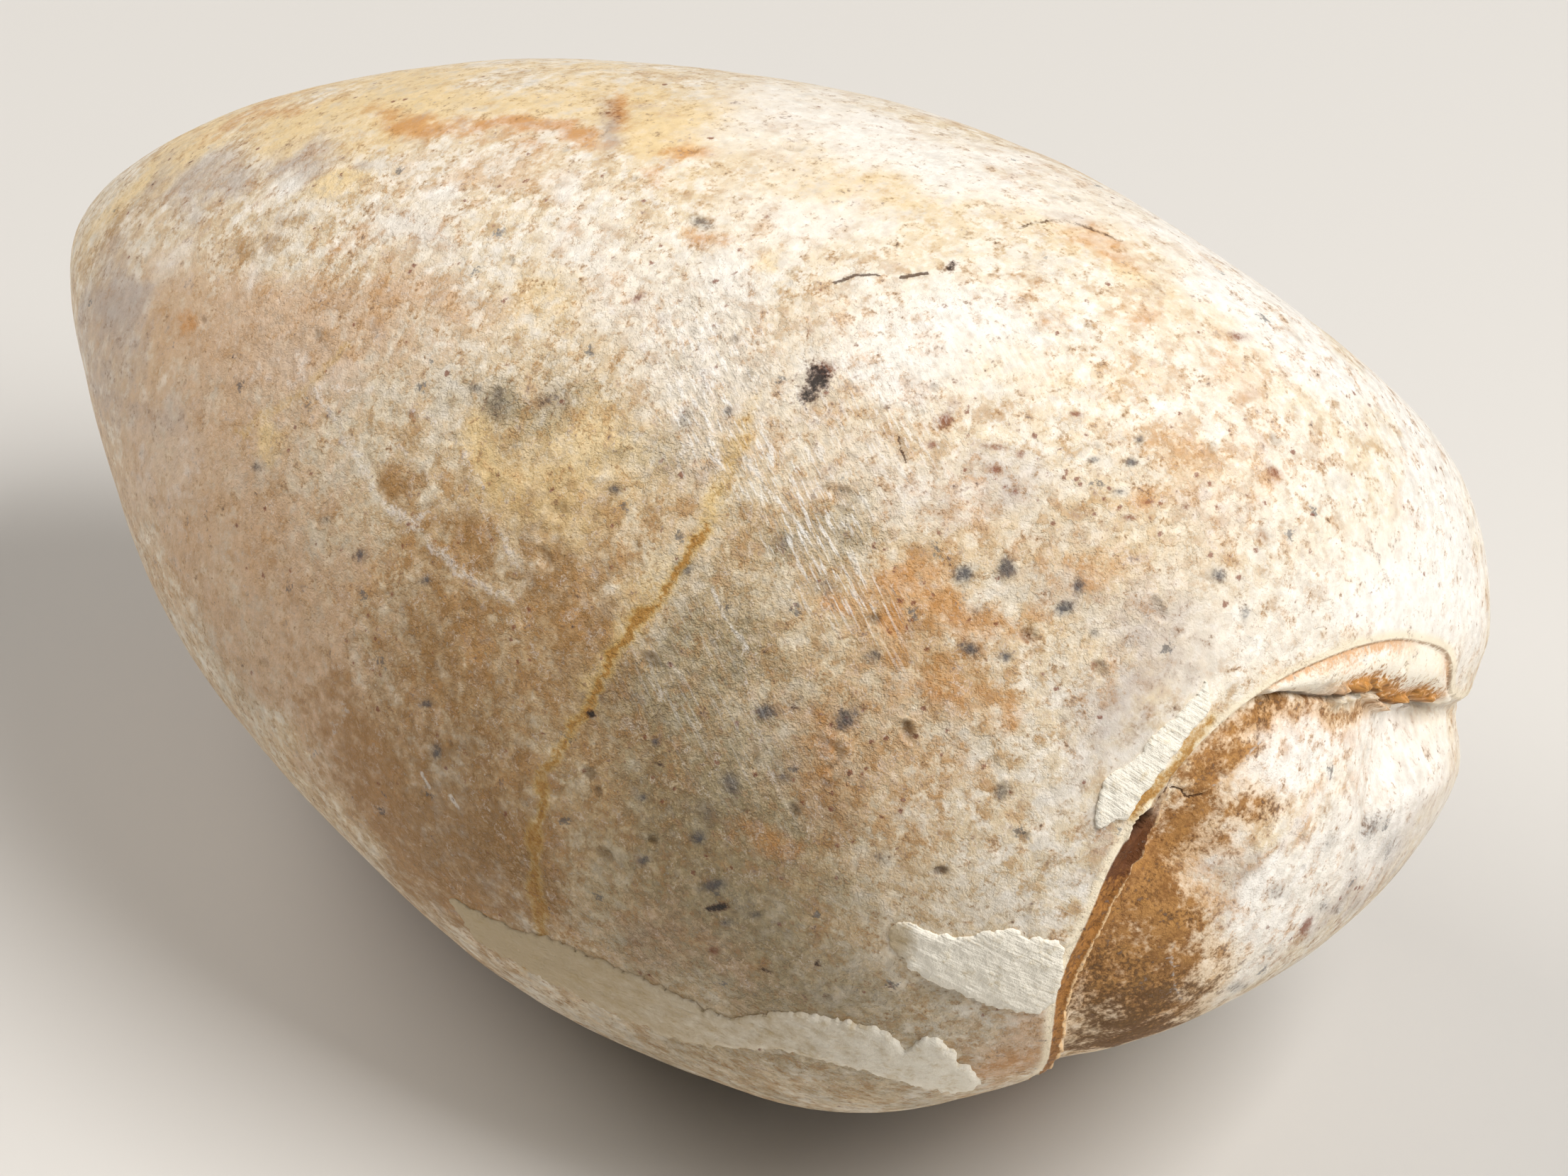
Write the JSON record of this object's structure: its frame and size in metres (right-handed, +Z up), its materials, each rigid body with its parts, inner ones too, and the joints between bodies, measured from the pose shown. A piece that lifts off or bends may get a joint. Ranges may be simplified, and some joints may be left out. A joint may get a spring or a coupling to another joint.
{
  "type": "fossil gastropod",
  "caption": "Egg-shaped fossil sea snail, ground and polished smooth, with a narrow curved mouth slit at its broad end, lying on its side on a small ground flat.",
  "frame": {"origin": "middle of the piece's bounding box, on the plane that it rests on", "axes": "+X from the worn spire to the broad front end, +Z up as the piece lies on its side"},
  "size_m": [0.0652, 0.039, 0.039],
  "materials": {
    "polished_shell": "ground and polished fossil shell, cream to ochre mottle with grey specks and small pits, satin",
    "chalky_flake": "thin chalky scale of shell left standing on the surface, matt and finely striated"
  },
  "bodies": {
    "root": {"fossil_shell": "polished_shell"}
  },
  "joints": []
}
